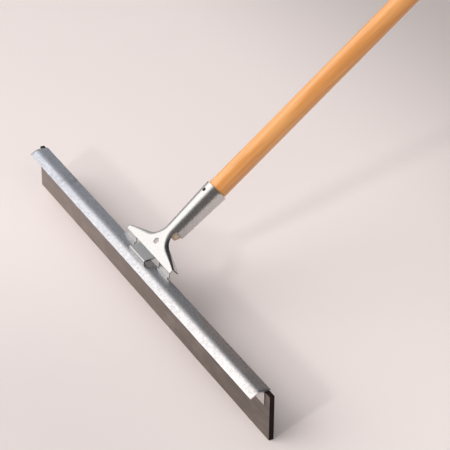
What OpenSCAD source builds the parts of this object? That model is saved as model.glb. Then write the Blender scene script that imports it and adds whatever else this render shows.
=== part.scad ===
// Straight floor scraper: a thick rubber blade gripped in a galvanised frame,
// a pressed steel socket bracket on the frame and a tapered wooden handle.
// X runs along the blade, +Y to the handle side, Z up from the floor.
// Origin: middle of the blade's floor edge.

/* [Blade] */
// Length of the rubber blade
blade_length = 610; // [450:5:920]
// Thickness of the rubber blade
blade_thickness = 6; // [4:0.5:9]
// Height of the rubber blade, floor edge to top edge
blade_height = 57.2; // [48:0.2:80]

/* [Frame] */
// Thickness of the galvanised frame sheet
frame_sheet = 1.4; // [1:0.1:2]
// How far the blade stands out past each end of the frame
blade_overhang = 10; // [4:1:25]
// Reach of the top plate forward of the blade's front face
plate_reach = 9; // [8:0.5:20]
// Rise of the top plate toward the front, in degrees
plate_rise = 4.6; // [0:0.2:8]
// Length of the visor flange below the front fold
visor_length = 10.5; // [6:0.5:20]
// Slope of the visor flange below level, in degrees
visor_slope = 29; // [15:1:50]
// Height of the wall behind the blade
back_wall_height = 18; // [16:1:30]
// Inside radius of the frame's folds
frame_fold_radius = 0.4; // [0.2:0.1:1.5]

/* [Clamp] */
// Thickness of the clamp bar in front of the blade
clamp_sheet = 1.2; // [1:0.1:3]
// Height of the clamp bar
clamp_height = 16; // [14:1:26]
// Number of clamp bolts
bolt_count = 5; // [3:1:9]
// Distance from the frame's end to the outer bolts
bolt_end_margin = 35; // [15:5:80]
// Diameter of the clamp bolts
bolt_diameter = 5; // [4:0.5:6]
// Width of the nuts across flats
nut_width = 8; // [7:0.5:10]
// Thickness of the nuts
nut_height = 4; // [3:0.5:5]
// Thickness of the washers
washer_thickness = 1; // [0.8:0.1:1.6]

/* [Socket bracket] */
// Thickness of the pressed steel sheet
bracket_sheet = 1.6; // [1.2:0.1:2]
// Length of the closed socket tube
socket_length = 70; // [50:1:90]
// Half angle of the socket's taper, in degrees
socket_taper = 2.4; // [1.2:0.1:3]
// Half span of the wings
wing_half_span = 56.5; // [48:0.5:70]
// Width of each wing's foot
foot_width = 26; // [20:0.5:32]
// Half width of the hooked tongue
tongue_half_width = 19.5; // [14:0.5:24]
// How much narrower than the socket's lower end the neck is, on each side
neck_inset = 2.6; // [2:0.1:4]
// Radius of the curve between wing and neck
crotch_radius = 20; // [14:1:24]
// Length of the square end of each wing
wing_tip = 6; // [4:0.5:9]
// Slope of the wing's back edge, in degrees
wing_slope = 19.3; // [14:0.5:26]
// Depth of the turned-down flange at the wing ends
flange_depth = 8; // [6:0.5:10]
// Depth of the turned-down flange at the neck
neck_flange_depth = 5; // [4:0.5:6]
// Height of the bracket's plate edge above the frame
bracket_lift = 7.4; // [6:0.2:12]
// Radius of the hole in the middle of the plate
plate_hole_radius = 3.6; // [2:0.1:5]
// Distance from the fold of the wings to the middle of the plate hole
plate_hole_u = 14.6; // [8:0.2:20]
// Radius of the fixing hole near the socket's mouth
fixing_hole_radius = 2.4; // [1.5:0.1:3.5]
// Distance from the mouth to the fixing hole
fixing_hole_inset = 10; // [7:0.5:20]

/* [Handle] */
// Length of the handle
handle_length = 1524; // [900:2:1800]
// Diameter of the handle
handle_diameter = 25.4; // [20:0.1:32]
// Elevation of the handle above the floor, in degrees
handle_angle = 37.5; // [30:0.5:60]
// Length of the handle's tip below the socket's lower end
tip_length = 8; // [4:0.5:12]
// How much thinner the tip is than the seat above it, on the radius
tip_reduction = 1.8; // [1:0.1:3]

/* [Hidden] */
$fn = 64;

arc_steps = 8;               // flats in a folded sheet's bend
bolt_clearance = 0.25;       // radial, holes for the clamp bolts
thread_clearance = 0.05;     // radial, nut on bolt
washer_clearance = 0.3;      // radial, washer on bolt
taper_clearance = 0.3;       // radial, tapered handle in the socket
mouth_clearance = 0.8;       // radial, straight handle at the socket's mouth
seam_width = 0.8;            // gap between the socket's rolled edges
plate_sink = 0.2;            // plate's top below the socket's top line
fold_root = 1.5;             // from the fold to where feet and tongue leave the plate
neck_relief = 12;            // length of the taper bore carried on below the socket
root_overlap = 3;            // depth of their roots inside the plate
fold_thinning = 0.05;        // sheet lost on each face where it is folded
bracket_fold_radius = 0.8;   // inside radius of the bracket's folds
pilot_depth = 10;            // depth of the pilot hole in the handle
pilot_undersize = 0.4;       // pilot hole's radius below the fixing hole's
cut = 1;                     // how far a cut runs past the surface it opens
bolt_margin = 0.5;           // spare height under the bolts' heads
bolt_tail = 1.5;             // bolt end past its nut
head_ratio = 0.5;            // bolt head's height to its radius
washer_rim = 1.2;            // washer past the nut's flats
fold_setback = 0.4;          // bracket's fold behind the frame's back wall
neck_overlap = 0.5;          // neck carried on into the socket
plate_run = 12;              // plate's pointed end, carried on inside the socket's wall
plate_end_share = 0.25;      // width of that end, as a share of the socket's
outline_margin = 9;          // inner area of the flange carried past the plate
flange_start = 3;            // flange begins this far before the wing's tip
flange_even = 6;             // and keeps its full depth this far past it
neck_start = 4;              // flange has its neck depth this far before the crotch
heel_setback = 0.4;          // foot's fold in front of the plate's fold
foot_reach = 3.2;            // length of a foot on the frame's top
nose_setback = 1.9;          // tongue's lip behind the frame's front fold
nose_drop = 0.9;             // fall of the tongue toward its lip
tip_chamfer = 1.5;           // bevel round the handle's tip
seat_start = 2;              // where the taper reaches its seat in the socket
dome_ratio = 0.6;            // handle end's height to its radius

// Frame, seen along X: back fold, front fold and visor lip, on mid-sheet
frame_length = blade_length - 2 * blade_overhang;
blade_front_y = -blade_thickness / 2;
blade_back_y = blade_thickness / 2;
wall_back_y = blade_back_y + frame_sheet;
back_y = blade_back_y + frame_sheet / 2;
top_clearance = frame_fold_radius;  // keeps the blade's corner out of the back fold
back_z = blade_height + top_clearance + frame_sheet / 2;
front_y = blade_front_y - plate_reach + frame_sheet / 2;
front_z = back_z + (back_y - front_y) * tan(plate_rise);
visor_y = front_y - visor_length * cos(visor_slope);
visor_z = front_z - visor_length * sin(visor_slope);
// Height of the top plate's upper face at a given y
function plate_top(y) = back_z + (back_y - y) * tan(plate_rise)
    + frame_sheet / 2 / cos(plate_rise);

// Clamp bolts
clamp_y = blade_front_y - clamp_sheet;
bolt_r = bolt_diameter / 2;
bolt_z = blade_height - clamp_height + bolt_diameter + bolt_margin;
bolt_head_r = bolt_diameter;
bolt_head_h = bolt_head_r * head_ratio;
washer_r = nut_width / 2 + washer_rim;
bolt_pitch = (frame_length - 2 * bolt_end_margin) / (bolt_count - 1);
bolt_xs = [for (i = [0 : bolt_count - 1]) bolt_end_margin - frame_length / 2 + i * bolt_pitch];

// Socket frame: s along the handle's axis, n square to it, in the YZ plane
along = [cos(handle_angle), sin(handle_angle)];
square_to = [-sin(handle_angle), cos(handle_angle)];
plate_dir = [cos(handle_angle + socket_taper), sin(handle_angle + socket_taper)];
plate_normal = [-plate_dir[1], plate_dir[0]];
// Upper edge of the wings' fold, over the frame's back wall
fold_y = wall_back_y + fold_setback;
fold_z = plate_top(fold_y) + bracket_lift;
fold_point = [fold_y, fold_z];
folded_thickness = bracket_sheet - 2 * fold_thinning;

// Socket, sized around the handle
bore_slope = tan(socket_taper);
bore_mouth_r = handle_diameter / 2 + mouth_clearance;
bore_throat_r = bore_mouth_r - socket_length * bore_slope;
socket_wall_r = bracket_sheet / cos(socket_taper);
mouth_radius = bore_mouth_r + socket_wall_r;
throat_radius = bore_throat_r + socket_wall_r;
fixing_hole_s = socket_length - fixing_hole_inset;

// Outline of the bracket's plate: x and the distance up the plate from the fold
neck_half_width = throat_radius - neck_inset;
foot_inner = wing_half_span - foot_width;
crotch_u = wing_tip + (crotch_radius + (wing_half_span - neck_half_width - crotch_radius)
    * sin(wing_slope)) / cos(wing_slope);
neck_length = crotch_u + neck_overlap;
plate_end_u = neck_length + plate_run;
plate_end_half_width = throat_radius * plate_end_share;
// Middle of the socket's lower end
throat_point = fold_point + neck_length * plate_dir
    - (throat_radius - plate_sink) * square_to;

// Points on a path of straight lines with rounded corners, each with its left normal
function unit(v) = v / norm(v);
function left(v) = [-v[1], v[0]];
function turned(v, a) = [v[0] * cos(a) - v[1] * sin(a), v[0] * sin(a) + v[1] * cos(a)];
function turn(a, b) = atan2(a[0] * b[1] - a[1] * b[0], a * b);
function bend(a, b, c, r) =
    let (d1 = unit(b - a), d2 = unit(c - b), th = turn(d1, d2), side = th > 0 ? 1 : -1,
         start = b - d1 * r * tan(abs(th) / 2), centre = start + left(d1) * side * r)
    [for (k = [0 : arc_steps])
        [centre + turned(start - centre, th * k / arc_steps), turned(left(d1), th * k / arc_steps)]];
function path(p, r) = concat(
    [[p[0], left(unit(p[1] - p[0]))]],
    [for (i = [1 : len(p) - 2]) each bend(p[i - 1], p[i], p[i + 1], r)],
    [[p[len(p) - 1], left(unit(p[len(p) - 1] - p[len(p) - 2]))]]);

// Cross-section of a folded sheet whose middle follows the points
module folded_sheet(points, thickness, fold_radius) {
    q = path(points, fold_radius + thickness / 2);
    n = len(q) - 1;
    polygon(concat(
        [for (i = [0 : n]) q[i][0] + q[i][1] * thickness / 2],
        [for (i = [n : -1 : 0]) q[i][0] - q[i][1] * thickness / 2]));
}

// Stands a YZ section up and runs it from x0 to x1
module along_x(x0, x1) {
    translate([x0, 0, 0]) rotate([90, 0, 90]) linear_extrude(x1 - x0) children();
}

// Turns a part's own +Z to +Y at every clamp bolt, from the given y
module at_bolts(y) {
    for (x = bolt_xs) translate([x, y, bolt_z]) rotate([-90, 0, 0]) children();
}

module bolt_holes() {
    at_bolts(clamp_y - cut)
        cylinder(r = bolt_r + bolt_clearance, h = wall_back_y - clamp_y + 2 * cut);
}

module rubber_blade() {
    color([0.46, 0.42, 0.38]) difference() {
        translate([-blade_length / 2, blade_front_y, 0])
            cube([blade_length, blade_thickness, blade_height]);
        bolt_holes();
    }
}

module squeegee_frame() {
    color([0.62, 0.65, 0.68]) difference() {
        along_x(-frame_length / 2, frame_length / 2)
            folded_sheet([[back_y, back_z - back_wall_height], [back_y, back_z],
                          [front_y, front_z], [visor_y, visor_z]],
                         frame_sheet, frame_fold_radius);
        bolt_holes();
    }
}

module clamp_bar() {
    color([0.78, 0.79, 0.83]) difference() {
        translate([-frame_length / 2, clamp_y, blade_height - clamp_height])
            cube([frame_length, clamp_sheet, clamp_height]);
        bolt_holes();
    }
}

// Round-headed bolts, heads in front of the clamp bar
module clamp_bolts() {
    shank = wall_back_y - clamp_y + washer_thickness + nut_height + bolt_tail;
    dome_r = (bolt_head_r * bolt_head_r + bolt_head_h * bolt_head_h) / (2 * bolt_head_h);
    color([0.7, 0.7, 0.72]) at_bolts(clamp_y) {
        cylinder(r = bolt_r, h = shank);
        intersection() {
            translate([0, 0, dome_r - bolt_head_h]) sphere(r = dome_r);
            translate([0, 0, -bolt_head_h]) cylinder(r = bolt_head_r + cut, h = bolt_head_h);
        }
    }
}

module clamp_washers() {
    color([0.72, 0.72, 0.74]) at_bolts(wall_back_y) difference() {
        cylinder(r = washer_r, h = washer_thickness);
        translate([0, 0, -cut])
            cylinder(r = bolt_r + washer_clearance, h = washer_thickness + 2 * cut);
    }
}

module clamp_nuts() {
    color([0.68, 0.68, 0.7]) at_bolts(wall_back_y + washer_thickness) difference() {
        cylinder(r = nut_width / 2 / cos(30), h = nut_height, $fn = 6);
        translate([0, 0, -cut]) cylinder(r = bolt_r + thread_clearance, h = nut_height + 2 * cut);
    }
}

// Puts children in the socket's frame: +Y up the handle from the socket's lower end
module in_socket() {
    translate([0, throat_point[0], throat_point[1]]) rotate([handle_angle, 0, 0]) children();
}

// Puts children in the plate's frame: +Y up the plate from the fold, Z = 0 its top
module on_plate() {
    translate([0, fold_y, fold_z]) rotate([handle_angle + socket_taper, 0, 0]) children();
}

// A cone on the socket's axis between two distances from its lower end, by its radius there
module socket_cone(throat_r, y0, y1) {
    in_socket() translate([0, y0, 0]) rotate([-90, 0, 0])
        cylinder(r1 = throat_r + bore_slope * y0, r2 = throat_r + bore_slope * y1, h = y1 - y0);
}

// Right half of the plate's outline, moved in from the edge by a distance
function half_outline(inset) =
    let (edge = 90 - wing_slope, centre = [neck_half_width + crotch_radius, crotch_u])
    concat(
        [[wing_half_span, wing_tip] - inset * [cos(edge), sin(edge)]],
        [for (k = [0 : 2 * arc_steps]) let (a = 180 + edge * (1 - k / (2 * arc_steps)))
            centre + (crotch_radius + inset) * [cos(a), sin(a)]],
        [[neck_half_width - inset, neck_length + neck_overlap]]);
function mirrored(p) = [for (i = [len(p) - 1 : -1 : 0]) [-p[i][0], p[i][1]]];

module plate_outline() {
    half = concat([[wing_half_span, fold_root]], half_outline(0), [[plate_end_half_width, plate_end_u]]);
    polygon(concat(half, mirrored(half)));
}

// Area inside the flange, open past the wings' ends and below the fold
module inside_flange() {
    tip_way = [cos(wing_slope), -sin(wing_slope)];
    half = concat([[wing_half_span + outline_margin, -outline_margin]],
                  [half_outline(bracket_sheet)[0] + outline_margin * tip_way],
                  half_outline(bracket_sheet),
                  [[plate_end_half_width, plate_end_u + outline_margin]]);
    polygon(concat(half, mirrored(half)));
}

module bracket_plate() {
    on_plate() translate([0, 0, -bracket_sheet]) linear_extrude(bracket_sheet) plate_outline();
}

// Turned-down edge of the wings and the neck, deeper toward the wings' ends
module bracket_flange() {
    on_plate() intersection() {
        translate([0, 0, -flange_depth]) linear_extrude(flange_depth) difference() {
            plate_outline();
            inside_flange();
        }
        rotate([90, 0, 90]) translate([0, 0, -wing_half_span]) linear_extrude(2 * wing_half_span)
            polygon([[wing_tip - flange_start, cut], [wing_tip - flange_start, -flange_depth],
                     [wing_tip + flange_even, -flange_depth],
                     [crotch_u - neck_start, -neck_flange_depth],
                     [plate_end_u, -neck_flange_depth], [plate_end_u, cut]]);
    }
}

// Wing's edge folded down and forward to a short foot on the frame's top plate
module bracket_feet() {
    mid = fold_point - plate_normal * bracket_sheet / 2;
    heel_y = mid[0] - heel_setback;
    toe_y = heel_y - foot_reach;
    lift = folded_thickness / 2 / cos(plate_rise);
    width = foot_width - 2 * fold_thinning;
    for (x = [-foot_inner - width, foot_inner])
        along_x(x, x + width)
            folded_sheet([mid + (fold_root + root_overlap) * plate_dir, mid,
                          [heel_y, plate_top(heel_y) + lift], [toe_y, plate_top(toe_y) + lift]],
                         folded_thickness, bracket_fold_radius);
}

// Tongue that runs forward over the top plate and turns down to it at the front fold
module bracket_tongue() {
    mid = fold_point - plate_normal * bracket_sheet / 2;
    nose_y = front_y + nose_setback;
    nose_z = mid[1] - nose_drop;
    along_x(-tongue_half_width, tongue_half_width)
        folded_sheet([mid + (fold_root + root_overlap) * plate_dir, mid, [nose_y, nose_z],
                      [nose_y, plate_top(nose_y - folded_thickness / 2)]],
                     folded_thickness, bracket_fold_radius);
}

module socket_bracket() {
    color([0.86, 0.86, 0.87]) difference() {
        union() {
            bracket_plate();
            bracket_flange();
            bracket_feet();
            bracket_tongue();
            socket_cone(throat_radius, 0, socket_length);
        }
        // taper bore, carried on below the socket to keep the neck clear
        socket_cone(bore_throat_r, -neck_relief, socket_length + cut);
        // seam under the socket
        in_socket() translate([-seam_width / 2, -cut, -mouth_radius - cut])
            cube([seam_width, socket_length + 2 * cut, mouth_radius]);
        in_socket() translate([0, fixing_hole_s, 0])
            cylinder(r = fixing_hole_radius, h = mouth_radius + cut);
        on_plate() translate([0, plate_hole_u, -bracket_sheet - cut])
            cylinder(r = plate_hole_radius, h = bracket_sheet + 2 * cut);
    }
}

// Turned handle: rounded tip, taper seated in the socket, straight shaft, domed end
module handle() {
    shaft_r = handle_diameter / 2;
    seat_r = bore_throat_r - taper_clearance;
    shoulder = (shaft_r - seat_r) / bore_slope;
    end = handle_length - tip_length;
    dome = shaft_r * dome_ratio;
    tip_radius = seat_r - tip_reduction;
    color([0.86, 0.6, 0.33]) difference() {
        in_socket() rotate([-90, 0, 0]) rotate_extrude() polygon(concat(
            [[0, -tip_length], [tip_radius - tip_chamfer, -tip_length],
             [tip_radius, -tip_length + tip_chamfer], [seat_r, seat_start], [shaft_r, shoulder]],
            [for (k = [0 : arc_steps]) let (a = 90 * k / arc_steps)
                [shaft_r * cos(a), end - dome + dome * sin(a)]]));
        in_socket() translate([0, fixing_hole_s, shaft_r - pilot_depth])
            cylinder(r = fixing_hole_radius - pilot_undersize, h = pilot_depth + cut);
    }
}

rubber_blade();
squeegee_frame();
clamp_bar();
clamp_bolts();
clamp_washers();
clamp_nuts();
socket_bracket();
handle();
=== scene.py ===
"""Straight floor scraper: a rubber blade gripped in a folded galvanised frame, a pressed
steel socket bracket on the frame and a varnished, tapered wooden handle.

Shapes are modelled in millimetres in the object's own frame: X along the blade, +Y to the
handle's side, Z up from the floor. They turn into metres when a piece is finished.
"""

import logging
import math
from dataclasses import dataclass
from enum import Enum
from typing import Callable, Optional, Sequence

import bmesh
import bpy
from mathutils import Matrix, Vector, noise
from mathutils.geometry import intersect_point_line


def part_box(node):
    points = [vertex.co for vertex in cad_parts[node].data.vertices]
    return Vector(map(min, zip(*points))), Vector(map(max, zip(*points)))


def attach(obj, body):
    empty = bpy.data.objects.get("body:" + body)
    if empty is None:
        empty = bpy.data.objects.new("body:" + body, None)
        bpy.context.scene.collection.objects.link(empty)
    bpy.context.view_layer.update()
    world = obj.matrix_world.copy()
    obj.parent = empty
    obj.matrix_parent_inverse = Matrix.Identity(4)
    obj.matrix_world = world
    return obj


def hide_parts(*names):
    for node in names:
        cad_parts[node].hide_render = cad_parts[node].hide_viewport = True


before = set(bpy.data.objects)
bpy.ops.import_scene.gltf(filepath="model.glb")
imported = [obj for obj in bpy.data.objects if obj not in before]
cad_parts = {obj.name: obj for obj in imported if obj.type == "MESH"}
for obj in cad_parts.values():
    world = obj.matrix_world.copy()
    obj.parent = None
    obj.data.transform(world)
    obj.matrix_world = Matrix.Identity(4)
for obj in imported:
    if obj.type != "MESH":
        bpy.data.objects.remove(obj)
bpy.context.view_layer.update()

MM = 0.001
TAU = 2.0 * math.pi
SHARP_ANGLE = math.radians(28.0)
OVERRUN = 5.0  # how far a cutting rod stands past the solid, in millimetres
log = logging.getLogger("floor_scraper")

Shape = bmesh.types.BMesh
Piece = bpy.types.Object
Material = bpy.types.Material
Socket = bpy.types.NodeSocket
Place = Callable[[int, int], Optional[Vector]]
Pair = tuple[float, float]
Colour = tuple[float, float, float]


class Body(Enum):
    """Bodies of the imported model."""

    HEAD = "head"
    HANDLE = "handle"


class Slot(Enum):
    """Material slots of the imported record."""

    RUBBER = "blade_rubber"
    GALVANISED = "galvanised_sheet"
    FASTENER = "zinc_fastener"
    PLATED = "zinc_plated_sheet"
    WOOD = "varnished_wood"


class Carve(Enum):
    """Ways of combining a solid with a tool."""

    CUT = "DIFFERENCE"
    KEEP_COMMON = "INTERSECT"
    JOIN = "UNION"


# ---------------------------------------------------------------- shared geometry


def smooth_step(low: float, high: float, value: float) -> float:
    """Runs from 0 at low to 1 at high with level ends."""
    t = min(max((value - low) / (high - low), 0.0), 1.0)
    return t * t * (3.0 - 2.0 * t)


def mix(a: float, b: float, share: float) -> float:
    """Value between a and b."""
    return a + (b - a) * share


def left_of(direction: Vector) -> Vector:
    """Direction turned a quarter turn to the left."""
    return Vector((-direction.y, direction.x))


def distance_to_line(point: Vector, start: Vector, end: Vector) -> float:
    """Distance from a point to the part of a line between its two ends."""
    foot, share = intersect_point_line(point, start, end)
    return (point - (start if share < 0.0 else end if share > 1.0 else foot)).length


def cad_box(node: str) -> tuple[Vector, Vector]:
    """Lowest and highest corner of a CAD node, in millimetres."""
    low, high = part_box(node)
    return low / MM, high / MM


def everything(bm: Shape) -> list:
    """All vertices, edges and faces."""
    return bm.verts[:] + bm.edges[:] + bm.faces[:]


def only(kind: type, geom: Sequence[object]) -> list:
    """The elements of one kind."""
    return [element for element in geom if isinstance(element, kind)]


def solid_box(low: Vector, high: Vector) -> Shape:
    """Box between two corners."""
    bm = bmesh.new()
    bmesh.ops.create_cube(bm, size=1.0)
    bmesh.ops.scale(bm, vec=high - low, verts=bm.verts[:])
    bmesh.ops.translate(bm, vec=(low + high) / 2.0, verts=bm.verts[:])
    return bm


@dataclass(frozen=True)
class Bend:
    """Rounded path of a folded sheet's middle, with a radius for each fold."""

    radii: Sequence[float]
    steps: int = 8

    def trace(self, corners: Sequence[Vector]) -> list[tuple[Vector, Vector]]:
        """Follows the corners and rounds them.

        Args:
            corners: Corner points in a plane.

        Returns:
            Points along the path, each with the unit normal on its left.
        """
        start_way = (corners[1] - corners[0]).normalized()
        end_way = (corners[-1] - corners[-2]).normalized()
        points = [(corners[0], left_of(start_way))]
        for before, corner, after, radius in zip(corners, corners[1:], corners[2:], self.radii):
            way_in, way_out = (corner - before).normalized(), (after - corner).normalized()
            turn = math.atan2(way_in.x * way_out.y - way_in.y * way_out.x, way_in.dot(way_out))
            start = corner - way_in * radius * math.tan(abs(turn) / 2.0)
            centre = start + left_of(way_in) * math.copysign(radius, turn)
            for k in range(self.steps + 1):
                spin = Matrix.Rotation(turn * k / self.steps, 2)
                points.append((centre + spin @ (start - centre), spin @ left_of(way_in)))
        points.append((corners[-1], left_of(end_way)))
        return points


def shaped_grid(columns: int, rows: int, place: Place) -> Shape:
    """Makes a flat grid and puts each of its points where it belongs.

    Args:
        columns: Number of faces across.
        rows: Number of faces along.
        place: Gives a point's place from its column and row, or None to leave it out.

    Returns:
        The sheet, one face thick.
    """
    bm = bmesh.new()
    bmesh.ops.create_grid(bm, x_segments=columns, y_segments=rows, size=1.0)
    reach = max(v.co.x for v in bm.verts)
    spare = []
    for vert in bm.verts:
        column = round((vert.co.x / reach + 1.0) / 2.0 * columns)
        row = round((vert.co.y / reach + 1.0) / 2.0 * rows)
        spot = place(column, row)
        if spot is None:
            spare.append(vert)
        else:
            vert.co = spot
    bmesh.ops.delete(bm, geom=spare, context="VERTS")
    return bm


def face_along(bm: Shape, way: Vector) -> None:
    """Turns an open sheet's faces so that most of them look along a direction."""
    bmesh.ops.recalc_face_normals(bm, faces=bm.faces[:])
    if sum(f.normal.dot(way) * f.calc_area() for f in bm.faces) < 0.0:
        bmesh.ops.reverse_faces(bm, faces=bm.faces[:])


def thicken(bm: Shape, thickness: float) -> None:
    """Gives an open sheet its thickness, behind the faces' front."""
    bmesh.ops.solidify(bm, geom=bm.faces[:], thickness=thickness)
    if bm.calc_volume(signed=True) < 0.0:
        bmesh.ops.reverse_faces(bm, faces=bm.faces[:])


def lathe(profile: Sequence[Pair], steps: int) -> Shape:
    """Turns a profile about +Z into a closed solid.

    Args:
        profile: Radius and height of each point, from end to end on the axis or as a closed loop.
        steps: Number of faces round the axis.

    Returns:
        The turned solid.
    """
    bm = bmesh.new()
    verts = [bm.verts.new((radius, 0.0, height)) for radius, height in profile]
    edges = [bm.edges.new(pair) for pair in zip(verts, verts[1:])]
    bmesh.ops.spin(bm, geom=verts + edges, cent=(0, 0, 0), axis=(0, 0, 1), angle=TAU,
                   steps=steps, use_merge=True, use_duplicate=False)
    bmesh.ops.remove_doubles(bm, verts=bm.verts[:], dist=1e-4)
    bmesh.ops.recalc_face_normals(bm, faces=bm.faces[:])
    return bm


def store(bm: Shape, name: str) -> Piece:
    """Puts a bmesh into a new object in the scene and frees it."""
    mesh = bpy.data.meshes.new(name)
    bm.to_mesh(mesh)
    bm.free()
    obj = bpy.data.objects.new(name, mesh)
    bpy.context.scene.collection.objects.link(obj)
    return obj


def carve(bm: Shape, tool: Shape, how: Carve = Carve.CUT) -> Shape:
    """Combines a solid with a tool.

    Args:
        bm: The solid, freed by the call.
        tool: The other solid, freed by the call.
        how: Which part stays.

    Returns:
        The combined solid.
    """
    work, other = store(bm, "carve_work"), store(tool, "carve_tool")
    modifier = work.modifiers.new("carve", "BOOLEAN")
    modifier.operation, modifier.solver, modifier.object = how.value, "EXACT", other
    graph = bpy.context.evaluated_depsgraph_get()
    result = bmesh.new()
    result.from_mesh(work.evaluated_get(graph).to_mesh())
    for obj in (work, other):
        mesh = obj.data
        bpy.data.objects.remove(obj)
        bpy.data.meshes.remove(mesh)
    return result


def rod(radius: float, start: Vector, end: Vector, steps: int = 32) -> Shape:
    """Plain round rod between two points."""
    bm = bmesh.new()
    way = end - start
    bmesh.ops.create_cone(bm, cap_ends=True, segments=steps, radius1=radius, radius2=radius,
                          depth=way.length)
    turn = way.to_track_quat("Z", "Y").to_matrix().to_4x4()
    place = Matrix.Translation((start + end) / 2.0)
    bmesh.ops.transform(bm, matrix=place @ turn, verts=bm.verts[:])
    return bm


def ease_edges(bm: Shape, width: float, angle: float = 50.0, segments: int = 2) -> None:
    """Rounds every edge that is sharper than an angle in degrees."""
    limit = math.radians(angle)
    edges = [e for e in bm.edges if len(e.link_faces) == 2 and e.calc_face_angle(0.0) > limit]
    bmesh.ops.bevel(bm, geom=edges, offset=width, offset_type="OFFSET", affect="EDGES",
                    segments=segments, profile=0.5, material=-1, clamp_overlap=True)


def repeat_along_x(bm: Shape, places: Sequence[float]) -> None:
    """Leaves a copy of the whole mesh at each X, the mesh itself at the first."""
    first = everything(bm)
    for x in places[1:]:
        copy = bmesh.ops.duplicate(bm, geom=first)["geom"]
        bmesh.ops.translate(bm, vec=(x, 0, 0), verts=only(bmesh.types.BMVert, copy))
    bmesh.ops.translate(bm, vec=(places[0], 0, 0), verts=only(bmesh.types.BMVert, first))


def unevenness(point: Vector, wavelength: float, amount: float, seed: float = 0.0) -> float:
    """Gentle noise in space, of a wavelength and size in millimetres."""
    return amount * noise.noise(point / wavelength + Vector((seed, 1.7 * seed, 0.6 * seed)))


def finish_piece(bm: Shape, name: str, material: Material, body: Body,
                 stands_for: str) -> Piece:
    """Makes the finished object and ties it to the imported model.

    Args:
        bm: The shape in millimetres, freed by the call.
        name: Name of the piece.
        material: Its finish.
        body: Body that it moves with.
        stands_for: CAD node that it replaces.

    Returns:
        The finished object.
    """
    bmesh.ops.scale(bm, vec=(MM, MM, MM), verts=bm.verts[:])
    obj = store(bm, name)
    obj.data.polygons.foreach_set("use_smooth", [True] * len(obj.data.polygons))
    obj.data.set_sharp_from_angle(angle=SHARP_ANGLE)
    obj.data.materials.append(material)
    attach(obj, body.value)
    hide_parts(stands_for)
    return obj


def dress_where(obj: Piece, material: Material,
                test: Callable[[bpy.types.MeshPolygon], bool]) -> None:
    """Gives the faces that pass a test a second finish."""
    obj.data.materials.append(material)
    for face in obj.data.polygons:
        if test(face):
            face.material_index = len(obj.data.materials) - 1


# ---------------------------------------------------------------- materials


class NodeTree:
    """Short way of placing nodes and links in a material or a group."""

    def __init__(self, tree: bpy.types.NodeTree) -> None:
        """Keeps the tree to work in."""
        self.tree = tree

    def add(self, kind: str, inputs: Optional[dict] = None, **settings: object) -> bpy.types.Node:
        """Adds a node.

        Args:
            kind: Blender's name of the node type.
            inputs: Values or sockets for its inputs, by name or index.
            **settings: Values of the node's own properties.

        Returns:
            The new node.
        """
        node = self.tree.nodes.new(kind)
        for key, value in settings.items():
            setattr(node, key, value)
        self.fill(node, inputs or {})
        return node

    def fill(self, node: bpy.types.Node, inputs: dict) -> None:
        """Links sockets to a node's inputs, and sets those that have plain values."""
        for key, value in inputs.items():
            if isinstance(value, Socket):
                self.tree.links.new(value, node.inputs[key])
            else:
                node.inputs[key].default_value = value

    def math(self, operation: str, a: object, b: object, clamp: bool = False) -> Socket:
        """Result of a Math node on two values or sockets."""
        return self.add("ShaderNodeMath", {0: a, 1: b}, operation=operation,
                        use_clamp=clamp).outputs[0]

    def plus(self, base: object, extra: Socket, weight: float, clamp: bool = False) -> Socket:
        """Base with a weighted extra added."""
        return self.math("ADD", base, self.math("MULTIPLY", extra, weight), clamp)

    def axis(self, place: Socket, index: int) -> Socket:
        """One coordinate of a place: 0 for X, 1 for Y, 2 for Z."""
        return self.add("ShaderNodeSeparateXYZ", {0: place}).outputs[index]

    def noise(self, place: Socket, scale: object, detail: float, roughness: float = 0.5
              ) -> bpy.types.Node:
        """Noise texture at a place."""
        return self.add("ShaderNodeTexNoise", {"Vector": place, "Scale": scale, "Detail": detail,
                                               "Roughness": roughness})

    def blend(self, share: object, a: object, b: object, how: str = "MIX") -> Socket:
        """Colour between a and b by a share."""
        return self.add("ShaderNodeMix", {0: share, 6: a, 7: b}, data_type="RGBA",
                        blend_type=how).outputs[2]

    def ramp(self, value: Socket, low: float, high: float, out_low: float = 0.0,
             out_high: float = 1.0) -> Socket:
        """Value moved from one range to another, held inside it."""
        return self.add("ShaderNodeMapRange", {0: value, 1: low, 2: high, 3: out_low, 4: out_high},
                        clamp=True, interpolation_type="SMOOTHSTEP").outputs[0]

    def object_coordinates(self, turn: Sequence[float] = (0, 0, 0)) -> Socket:
        """The piece's own coordinates, turned in radians."""
        place = self.add("ShaderNodeTexCoord").outputs["Object"]
        return self.add("ShaderNodeMapping", {"Vector": place, "Rotation": turn}).outputs[0]

    def group(self, tree: bpy.types.NodeTree, inputs: dict) -> bpy.types.Node:
        """Places a node group with its own values."""
        return self.add("ShaderNodeGroup", inputs, node_tree=tree)


def rgba(colour: Colour) -> tuple[float, float, float, float]:
    """Colour with full alpha."""
    return (*colour, 1.0)


def start_group(name: str, inputs: dict[str, str], outputs: dict[str, str]
                ) -> tuple[NodeTree, bpy.types.Node, bpy.types.Node]:
    """Starts a shader node group.

    Args:
        name: Name of the group.
        inputs: Socket types by input name.
        outputs: Socket types by output name.

    Returns:
        The tree to build in, its input node and its output node.
    """
    tree = bpy.data.node_groups.new(name, "ShaderNodeTree")
    for label, kind in inputs.items():
        tree.interface.new_socket(name=label, in_out="INPUT", socket_type=kind)
    for label, kind in outputs.items():
        tree.interface.new_socket(name=label, in_out="OUTPUT", socket_type=kind)
    return NodeTree(tree), tree.nodes.new("NodeGroupInput"), tree.nodes.new("NodeGroupOutput")


FLOAT, VECTOR = "NodeSocketFloat", "NodeSocketVector"


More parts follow.
